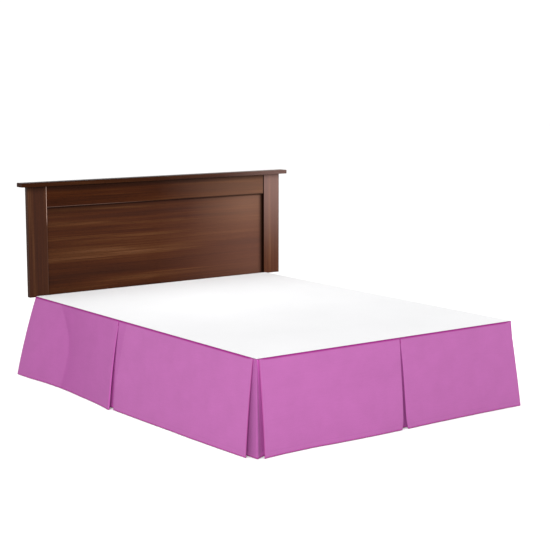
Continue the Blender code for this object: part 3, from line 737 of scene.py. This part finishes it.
class BEDSKIRT_OT_drops(Operator):
    """Hang the three pleated drops from the edge of the deck"""
    bl_idname = "bedskirt.drops"
    bl_label = "Pleated drops"
    bl_options = {"REGISTER", "UNDO"}

    def execute(self, context):
        skirt = context.scene.bed_skirt
        finish, rows = orchid_cotton(skirt), drop_rows(skirt)
        # the seam allowance lies in on the box spring and turns down at the seam
        seam = [(SEAM_WIDTH, SEAM_LEVEL), (0.010, SEAM_LEVEL)]
        for angle in (radians(degrees) for degrees in range(90, 0, -15)):
            seam.append((SEAM_RADIUS * (1 - cos(angle)), DROP_TOP + SEAM_RADIUS * sin(angle)))
        for name, side in SIDES.items():
            lines, lit = drop_lines(side, skirt), side["pleat"]["lit"]
            grid, weights, shades = [], [], []
            for line in lines:
                points = [place_on(side, line.top + line.mitre * inward, -inward, level)
                          if line.seam else None for inward, level in seam]
                mass, shade = [skirt.cloth / skirt.hem] * len(seam), [0.0] * len(seam)
                reach = min(abs(line.top - lines[0].top), abs(line.top - lines[-1].top))
                for share in rows:
                    opening = curve_through(PLEAT_OPENING, share)
                    at = mix(line.top, line.hem, share) + line.bow * (opening - share)
                    out = flare(share) * line.out - mix(*line.back, share)
                    if line.ripple:
                        out += line.ripple * unevenness(side, at, share, skirt)
                    # the turned hem draws in a little at its stitches and rounds off at its fold
                    low = (1 - share) * DROP_HEIGHT
                    out -= 0.0003 * exp(-((low - skirt.hem_depth + STITCH_INSET) / 0.0012) ** 2)
                    out -= 0.0005 * exp(-((low / 0.0006) ** 2))
                    points.append(place_on(side, at, out, mix(DROP_TOP, HEM_CLEARANCE, share)))
                    mass.append(thickness_share(low, reach, skirt))
                    # painted shade: the crease's shade, and inside a pleat the part of the light that does
                    # not come through
                    shade.append(painted_shade(side, at, share) + 1.8 * (1 - lit) * line.tucked)
                grid.append(points)
                weights.append(mass)
                shades.append(shade)
            # painted light: tucked lines get a clearer pink as far as the pleat lets light in
            drop = sheet_object(f"pleated_drop_{name}", grid, weights, skirt.hem, finish,
                                [lit * line.tucked for line in lines], shades)
            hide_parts(f"drop_{name}")
        return {"FINISHED"}


def lines_between(lines):
    """More lines between the seven of the cut, so that the cloth's folds are soft."""
    made = []
    for (top, hem), (next_top, next_hem), count in zip(lines, lines[1:], (12, 2, 6, 6, 2, 12)):
        for share in (i / count for i in range(count)):
            made.append((tuple(mix(a, b, share) for a, b in zip(top, next_top)),
                         tuple(mix(a, b, share) for a, b in zip(hem, next_hem))))
    return made + [lines[-1]]


class BEDSKIRT_OT_corner_inserts(Operator):
    """Hang the two underlays behind the open corners at the foot"""
    bl_idname = "bedskirt.corner_inserts"
    bl_label = "Corner underlays"
    bl_options = {"REGISTER", "UNDO"}

    def execute(self, context):
        skirt = context.scene.bed_skirt
        # painted shade: the underlays are drawn 0.87 as light, for their place in the recess behind the
        # flaps
        finish, rows = orchid_cotton(skirt, "underlays", 0.87), drop_rows(skirt)
        mass = [thickness_share((1 - share) * DROP_HEIGHT, 1.0, skirt) for share in rows]
        for name, sign in (("left", -1), ("right", 1)):
            lines = lines_between(list(zip(INSERT_TOP, INSERT_HEM[name]))[::sign])
            grid = []
            for (top_x, top_y, top_level), (hem_x, hem_y) in lines:
                points = []
                for share in rows:
                    x = sign * (BED_WIDTH / 2 + mix(top_x, hem_x, flare(share))) + BED_X
                    y = -BED_LENGTH / 2 - mix(top_y, hem_y, flare(share)) + BED_Y
                    points.append(Vector((x, y, mix(top_level, HEM_CLEARANCE, share))))
                grid.append(points)
            # painted light: the underlays' arms beside the flaps get the clearer pink, standing in for
            # light in the recess
            tucked = [max(soft_step((-hem[1] - 0.005) / 0.035), soft_step((0.012 - hem[0]) / 0.020))
                      for top, hem in lines]
            insert = sheet_object(f"corner_underlay_{name}", grid, [mass] * len(grid), skirt.hem, finish,
                                  tucked, sewn_in=SEAM_WIDTH + 0.004)
            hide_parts(f"corner_insert_{name}")
        return {"FINISHED"}


class BEDSKIRT_OT_deck(Operator):
    """Lay the white deck cloth on the box spring"""
    bl_idname = "bedskirt.deck"
    bl_label = "Deck cloth"
    bl_options = {"REGISTER", "UNDO"}

    def execute(self, context):
        deck = context.scene.bed_deck
        low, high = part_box("deck")
        half = (high - low) / 2

        def lines(reach):
            """Places across the cloth: even, and closer along its edges."""
            count = round(2 * reach / deck.pitch)
            places = {-reach + 2 * reach * i / count for i in range(count + 1)}
            for step in (0.0006, 0.002, 0.005, 0.016, 0.018, 0.020):
                places |= {-reach + step, reach - step}
            return sorted(places)

        def from_rim(x, y):
            return min(half.x - abs(x), half.y - abs(y))

        grid = []
        for x in lines(half.x):
            points = []
            for y in lines(half.y):
                edge = from_rim(x, y)
                # the cloth sinks from the seam allowance under its rim to the box spring
                sunk = 0.0011 * soft_step((edge - SEAM_WIDTH) / 0.052)
                rumple = noise.noise(Vector((x * 3.1 + 0.4 * y, y * 2.3, 5.0)))
                rumple += 0.5 * noise.noise(Vector((x * 8.0, y * 5.0 + x * 2.0, 15.0)))
                drawn = deck.rumple * soft_step((edge - 0.02) / 0.2) * max(rumple + 0.35, -0.2)
                round_off = 0.0004 * exp(-((edge / 0.0012) ** 2))
                points.append(Vector((x + BED_X, y + BED_Y, high.z - sunk + drawn - round_off)))
            grid.append(points)
        cloth = sheet_object("deck_cloth", grid, [[1.0] * len(grid[0])] * len(grid), deck.cloth,
                             platform_cloth(deck),
                             rim=lambda point: (from_rim(point.x - BED_X, point.y - BED_Y), 1.0, 1.0))
        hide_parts("deck")
        return {"FINISHED"}


# ---------------------------------------------------------------- the bed
def shape_faces(made, wanted, work):
    """Edit mode on one object with only the wanted faces selected; work runs on them."""
    select_only(made)
    bpy.ops.object.mode_set(mode="EDIT")
    bpy.context.tool_settings.mesh_select_mode = (False, False, True)
    mesh = bmesh.from_edit_mesh(made.data)
    for face in mesh.faces:
        face.select_set(wanted(face))
    mesh.select_flush_mode()
    bmesh.update_edit_mesh(made.data)
    work()
    bpy.ops.object.mode_set(mode="OBJECT")


def shape_with(made, kind, **settings):
    """Applies a modifier of this kind with its settings."""
    modifier = made.modifiers.new(kind, kind)
    for key, value in settings.items():
        setattr(modifier, key, value)
    bpy.context.view_layer.objects.active = made
    bpy.ops.object.modifier_apply(modifier=modifier.name)


def bevelled(made, width, segments, angle=30):
    shape_with(made, "BEVEL", width=width, segments=segments, limit_method="ANGLE",
               angle_limit=radians(angle))


def smooth_and_dress(made, finish, angle=40):
    select_only(made)
    bpy.ops.object.shade_smooth_by_angle(angle=radians(angle))
    made.data.materials.clear()
    made.data.materials.append(finish)
    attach(made, "root")


def spring_welt(name, level, radius):
    """Piping round the four sides: a rounded loop with the cord's section."""
    corner, steps = 0.018, 6
    path = []
    for sx, sy, start in ((1, 1, 0), (-1, 1, 90), (-1, -1, 180), (1, -1, 270)):
        x, y = spring_corner(sx, sy)
        for i in range(steps + 1):
            angle = radians(start + 90 * i / steps)
            path.append((x + corner * (cos(angle) - sx), y + corner * (sin(angle) - sy), level))
    curve = bpy.data.curves.new(name, "CURVE")
    curve.dimensions, curve.bevel_depth, curve.bevel_resolution = "3D", radius, 3
    spline = curve.splines.new("POLY")
    spline.points.add(len(path) - 1)
    for point, place in zip(spline.points, path):
        point.co = (*place, 1.0)
    spline.use_cyclic_u = True
    select_only(put_in_scene(name, curve))
    bpy.ops.object.convert(target="MESH")
    return bpy.context.object


def corner_guard(name, sx, sy):
    """A plastic cap round a lower corner, 70 mm long each way and 60 mm high."""
    reach, wall, foot, top = 0.070, 0.0018, SPRING_LOW.z + 0.002, SPRING_LOW.z + 0.060
    x, y = spring_corner(sx, sy)
    xs, ys = sorted((x + sx * wall, x - sx * reach)), sorted((y + sy * wall, y - sy * reach))
    guard = primitive_box(name, Vector((xs[0], ys[0], foot)), Vector((xs[1], ys[1], top)))
    # keep the two outer walls and give them their thickness
    shape_faces(guard, lambda face: abs(face.normal.z) > 0.5 or face.normal.x * sx < -0.5
                or face.normal.y * sy < -0.5, lambda: bpy.ops.mesh.delete(type="FACE"))
    bevelled(guard, 0.016, 5)
    shape_with(guard, "SOLIDIFY", thickness=wall, offset=-1)
    bevelled(guard, 0.0005, 2, 50)
    return guard


class BEDSKIRT_OT_box_spring(Operator):
    """Cover the box spring in ticking, with piping, corner guards and a dust cover"""
    bl_idname = "bedskirt.box_spring"
    bl_label = "Box spring"
    bl_options = {"REGISTER", "UNDO"}

    def execute(self, context):
        bed = context.scene.bed_frame_settings
        ticking, plastic = box_spring_ticking(bed), moulded_plastic()
        cover = primitive_box("box_spring_cover", SPRING_LOW, SPRING_HIGH)
        shape_faces(cover, lambda face: abs(face.normal.z) < 0.5,
                    lambda: bpy.ops.mesh.subdivide(number_cuts=1))
        bevelled(cover, 0.016, 4, 60)
        # top and bottom panels are set in from the welts by a shallow step
        shape_faces(cover, lambda face: abs(face.normal.z) > 0.9, lambda: (
            bpy.ops.mesh.inset(thickness=0.012, depth=0.0, use_boundary=True),
            bpy.ops.mesh.inset(thickness=0.004, depth=-0.0006, use_boundary=True),
        ))
        smooth_and_dress(cover, ticking)
        cover.data.materials.append(dust_cover())
        for face in cover.data.polygons:
            face.material_index = 1 if face.normal.z < -0.9 else 0
        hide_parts("box_spring")

        for name, level in (("top", SPRING_HIGH.z - WELT_INSET), ("bottom", SPRING_LOW.z + WELT_INSET)):
            welt = spring_welt(f"box_spring_welt_{name}", level, bed.welt)
            smooth_and_dress(welt, ticking, 80)
        for name, sx, sy in (("foot_left", -1, -1), ("foot_right", 1, -1), ("head_left", -1, 1),
                             ("head_right", 1, 1)):
            guard = corner_guard(f"corner_guard_{name}", sx, sy)
            smooth_and_dress(guard, plastic)
        return {"FINISHED"}


def hex_bolt(name, place, finish):
    """A hexagon head on its washer, standing out along +Y from the place."""
    x, y, z = place
    washer_thick, head_thick, head_middle, head_turn = 0.0015, 0.0045, 0.0038, 0.2
    washer = primitive(bpy.ops.mesh.primitive_cylinder_add, "washer", vertices=24, radius=0.0095,
                       depth=washer_thick, location=(x, y + washer_thick / 2, z),
                       rotation=(pi / 2, 0, 0))
    head = primitive(bpy.ops.mesh.primitive_cylinder_add, name, vertices=6, radius=0.0067,
                     depth=head_thick, location=(x, y + head_middle, z),
                     rotation=(pi / 2, head_turn, 0))
    shape_faces(head, lambda face: face.normal.y > 0.9,
                lambda: bpy.ops.mesh.inset(thickness=0.0009, depth=0.0005, use_boundary=True))
    select_only(washer, head)
    bpy.ops.object.join()
    bevelled(head, 0.0002, 1, 40)
    smooth_and_dress(head, finish, 35)


class BEDSKIRT_OT_headboard(Operator):
    """Veneer the headboard and bolt it together"""
    bl_idname = "bedskirt.headboard"
    bl_label = "Headboard"
    bl_options = {"REGISTER", "UNDO"}

    def execute(self, context):
        (outer_left, left_edge), (right_edge, outer_right) = (
            [corner.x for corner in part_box(f"headboard_stile_{side}")] for side in ("left", "right"))
        rail_low, rail_high = (corner.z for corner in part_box("headboard_top_rail"))
        cap_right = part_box("headboard_cap")[1].x
        # dark is the colour of painted shadows and shade, and of the dark joints; the next is a painted
        # highlight for arrises, the last three painted sheen
        dark, painted_arris_highlight, painted_haze, painted_sheen_russet, painted_sheen_rose = "#150703", "#B9988A", "#93725A", "#8E6354", "#8B736E"
        # painted shadow: the cap's shadow on the rail and stiles just under it
        painted_shadow_under_cap = ("Z", rail_high, 0.042, dark, 0.62)
        leg_boards = ("leg boards, upright grain", "Z", 8.0)
        # for each board: its name, its grain's axis, a seed, how pale it is, its depth and its marks; pale
        # and depth make lighter and darker copies of one veneer, partly the boards' own tones and partly
        # painted light and shade
        finishes = {
            "headboard_panel": ("panel, lengthwise grain", "X", 17.0, 0.03, 0.87, (
                # painted sheen: lighter and greyer on the right part of the panel below the rail, where
                # the gloss catches the light
                ("Z", rail_low, 0.30, painted_haze, 0.16, ("X", 0.2, 0.6)),
                # painted sheen towards the right edge, and painted shade darkening the left part of the
                # panel
                ("X", right_edge, 0.60, painted_sheen_russet, 0.07), ("X", left_edge, 0.55, dark, 0.16),
                # painted shadow under the top rail, deepest at the left
                ("Z", rail_low, 0.065, dark, 0.50, ("X", 0.7, -0.4)),
                # painted shadow just under the rail, and painted shade on the panel beside the right stile
                ("Z", rail_low, 0.014, dark, 0.75), ("X", right_edge, 0.030, dark, 0.95))),
            "headboard_top_rail": ("top rail, lengthwise grain", "X", 4.0, 0.0, 0.75, (
                # painted sheen towards the rail's right end; the next line holds the painted shadow under
                # the cap and a dark joint at the right end
                ("X", right_edge, 0.80, painted_haze, 0.13),
                painted_shadow_under_cap, ("X", right_edge, 0.007, dark, 0.7),
                # a painted highlight on the lower arris at the left, and painted shade along the lower
                # edge towards the right
                ("Z", rail_low, 0.005, painted_arris_highlight, 0.14, ("X", 0.0, -0.3)),
                ("Z", rail_low, 0.008, dark, 0.8, ("X", -0.1, 0.2)))),
            "headboard_cap": ("cap, lengthwise grain", "X", 7.0, 0.0, 0.52, (
                # painted sheen: the cap lighter towards its right end
                ("X", cap_right, 0.55, painted_sheen_rose, 0.18),)),
            "headboard_stile_left": ("left stile, upright grain", "Z", 2.0, 0.06, 0.58, (
                # painted shadow under the cap, painted shade along the outer edge and painted highlights
                # on the inner arris, brightest near the top
                painted_shadow_under_cap, ("X", outer_left, 0.006, dark, 0.3), ("X", left_edge, 0.004, painted_arris_highlight, 0.08),
                ("X", left_edge, 0.005, painted_arris_highlight, 0.85, ("Z", 0.79, 0.84)))),
            "headboard_stile_right": ("right stile, upright grain", "Z", 5.0, -0.07, 0.95, (
                # painted sheen at the top of the right stile, painted shadow under the cap, painted shade
                # along the outer edge and on the inner side face, which faces away from the light
                ("Z", rail_high, 0.58, painted_sheen_rose, 0.34), ("Z", rail_high, 0.035, dark, 0.30),
                ("X", outer_right, 0.008, dark, 0.45), ("X", right_edge, 0.003, dark, 1.0))),
            "headboard_leg_left": leg_boards,
            "headboard_leg_right": leg_boards,
        }
        made = {}
        for node, (name, *rest) in finishes.items():
            if name not in made:
                made[name] = walnut_veneer(f"walnut veneer, satin lacquered: {name}", *rest)
            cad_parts[node].material_slots[0].material = made[name]
        steel = blacked_steel()
        for side in ("left", "right"):
            low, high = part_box(f"headboard_leg_{side}")
            for i, z in enumerate(BOLT_HEIGHTS):
                hex_bolt(f"headboard_bolt_{side}_{i + 1}", ((low.x + high.x) / 2, high.y, z), steel)
        return {"FINISHED"}


def glide(node, finish):
    """A moulded glide: a wide foot with a rounded rim, drawn in to a collar round the leg."""
    low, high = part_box(node)
    radius, height = (high.x - low.x) / 2, high.z - low.z
    made = primitive(bpy.ops.mesh.primitive_cylinder_add, f"moulded_{node}", vertices=36,
                     radius=radius, depth=height * 0.4,
                     location=((low.x + high.x) / 2, (low.y + high.y) / 2, low.z + height * 0.2))
    shape_faces(made, lambda face: face.normal.z > 0.9, lambda: (
        bpy.ops.mesh.inset(thickness=radius * 0.22, depth=height * 0.14),
        bpy.ops.mesh.inset(thickness=radius * 0.06, depth=height * 0.40),
        bpy.ops.mesh.inset(thickness=radius * 0.02, depth=0.0),
    ))
    bevelled(made, 0.0012, 2, 30)
    smooth_and_dress(made, finish, 35)
    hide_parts(node)


def rivet(name, place, out, finish):
    """A round rivet head on the side rail's outer face."""
    made = primitive(bpy.ops.mesh.primitive_uv_sphere_add, name, segments=16, ring_count=10,
                     radius=0.0045, location=place)
    bpy.ops.object.mode_set(mode="EDIT")
    bpy.ops.mesh.select_all(action="SELECT")
    bpy.ops.mesh.bisect(plane_co=place, plane_no=(out, 0, 0), clear_inner=True, use_fill=True)
    bpy.ops.mesh.select_all(action="SELECT")
    bpy.ops.transform.resize(value=(0.55, 1, 1), center_override=place)
    bpy.ops.object.mode_set(mode="OBJECT")
    smooth_and_dress(made, finish, 50)


class BEDSKIRT_OT_bed_frame(Operator):
    """Finish the steel bed frame, its rivets and its glides"""
    bl_idname = "bedskirt.bed_frame"
    bl_label = "Bed frame"
    bl_options = {"REGISTER", "UNDO"}

    def execute(self, context):
        bed = context.scene.bed_frame_settings
        steel, plastic, dark = powder_coated_steel(bed), moulded_plastic(), blacked_steel()
        for node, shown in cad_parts.items():
            if node.startswith(("side_rail", "cross_rail", "leg_", "headboard_bracket")):
                shown.material_slots[0].material = steel
        for node in [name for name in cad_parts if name.startswith("glide_")]:
            glide(node, plastic)
        for side, out in (("left", -1), ("right", 1)):
            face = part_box(f"side_rail_{side}")[0 if out < 0 else 1].x
            for where in ("foot", "middle", "head"):
                low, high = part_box(f"leg_{where}_{side}")
                for i, z in enumerate(RIVET_HEIGHTS):
                    rivet(f"rivet_{where}_{side}_{i + 1}", (face, (low.y + high.y) / 2, z), out, dark)
        return {"FINISHED"}


def soft_light(name, place, target, size, spread, power):
    lamp = bpy.data.lights.new(name, "AREA")
    lamp.shape, lamp.size, lamp.energy, lamp.spread = "SQUARE", size, power, radians(spread)
    made = put_in_scene(name, lamp)
    made.location = place
    made.rotation_euler = (Vector(target) - Vector(place)).to_track_quat("-Z", "Y").to_euler()
    made.visible_camera = False


class BEDSKIRT_OT_stage(Operator):
    """Set the pale floor, the soft lights and the camera"""
    bl_idname = "bedskirt.stage"
    bl_label = "Stage"
    bl_options = {"REGISTER", "UNDO"}

    def execute(self, context):
        stage, scene = context.scene.bed_stage, context.scene
        floor = primitive(bpy.ops.mesh.primitive_circle_add, "pale_floor", vertices=64, radius=40.0,
                          fill_type="NGON")
        floor.data.materials.append(paper_floor())

        scene.world = bpy.data.worlds.new("white surround")
        scene.world.use_nodes = True
        sky = scene.world.node_tree.nodes["Background"]
        sky.inputs["Color"].default_value = (1, 1, 1, 1)
        sky.inputs["Strength"].default_value = stage.sky

        soft_light("front_light", (-5.9, -6.7, 4.2), (0.0, 0.0, 0.3), 4.0, 180, stage.front)
        soft_light("side_light", (4.8, -0.7, 1.2), (0.4, 0.6, 0.5), 2.0, 180, stage.side)
        soft_light("board_light", (1.9, -3.0, 1.7), (0.95, 1.05, 0.75), 1.0, 32, stage.board)
        soft_light("top_light", (-0.2, 0.1, 2.4), (-0.1, 0.7, 0.42), 1.0, 64, stage.top)

        camera = put_in_scene("camera", bpy.data.cameras.new("camera"))
        camera.data.sensor_width = SENSOR_WIDTH
        camera.data.lens = FOCAL_PIXELS / PHOTO_PIXELS * SENSOR_WIDTH
        camera.location = (CAMERA_PLACE[0] + BED_X, CAMERA_PLACE[1] + BED_Y, CAMERA_PLACE[2])
        camera.rotation_euler = (pi / 2 - CAMERA_PITCH, 0.0, -CAMERA_YAW)
        scene.camera = camera
        scene.view_settings.view_transform = "Standard"
        scene.view_settings.look = "None"
        return {"FINISHED"}


OPERATORS = (BEDSKIRT_OT_box_spring, BEDSKIRT_OT_drops, BEDSKIRT_OT_corner_inserts, BEDSKIRT_OT_deck,
             BEDSKIRT_OT_bed_frame, BEDSKIRT_OT_headboard, BEDSKIRT_OT_stage)


class BEDSKIRT_PT_panel(bpy.types.Panel):
    bl_idname = "BEDSKIRT_PT_panel"
    bl_label = "Bed skirt"
    bl_space_type = "VIEW_3D"
    bl_region_type = "UI"
    bl_category = "Bed skirt"

    def draw(self, context):
        for made in OPERATORS:
            self.layout.operator(made.bl_idname)
        scene = context.scene
        for group in (scene.bed_skirt, scene.bed_deck, scene.bed_frame_settings, scene.bed_stage):
            box = self.layout.box()
            for name in group.__annotations__:
                box.prop(group, name)


SETTINGS = {"bed_skirt": SkirtSettings, "bed_deck": DeckSettings, "bed_frame_settings": BedSettings,
            "bed_stage": StageSettings}


def register():
    for name, group in SETTINGS.items():
        bpy.utils.register_class(group)
        setattr(bpy.types.Scene, name, PointerProperty(type=group))
    for made in (*OPERATORS, BEDSKIRT_PT_panel):
        bpy.utils.register_class(made)


def unregister():
    for made in (BEDSKIRT_PT_panel, *reversed(OPERATORS)):
        bpy.utils.unregister_class(made)
    for name, group in SETTINGS.items():
        delattr(bpy.types.Scene, name)
        bpy.utils.unregister_class(group)


def main():
    register()
    bpy.ops.bedskirt.box_spring()
    bpy.ops.bedskirt.drops()
    bpy.ops.bedskirt.corner_inserts()
    bpy.ops.bedskirt.deck()
    bpy.ops.bedskirt.bed_frame()
    bpy.ops.bedskirt.headboard()
    bpy.ops.bedskirt.stage()


if __name__ == "__main__":
    main()
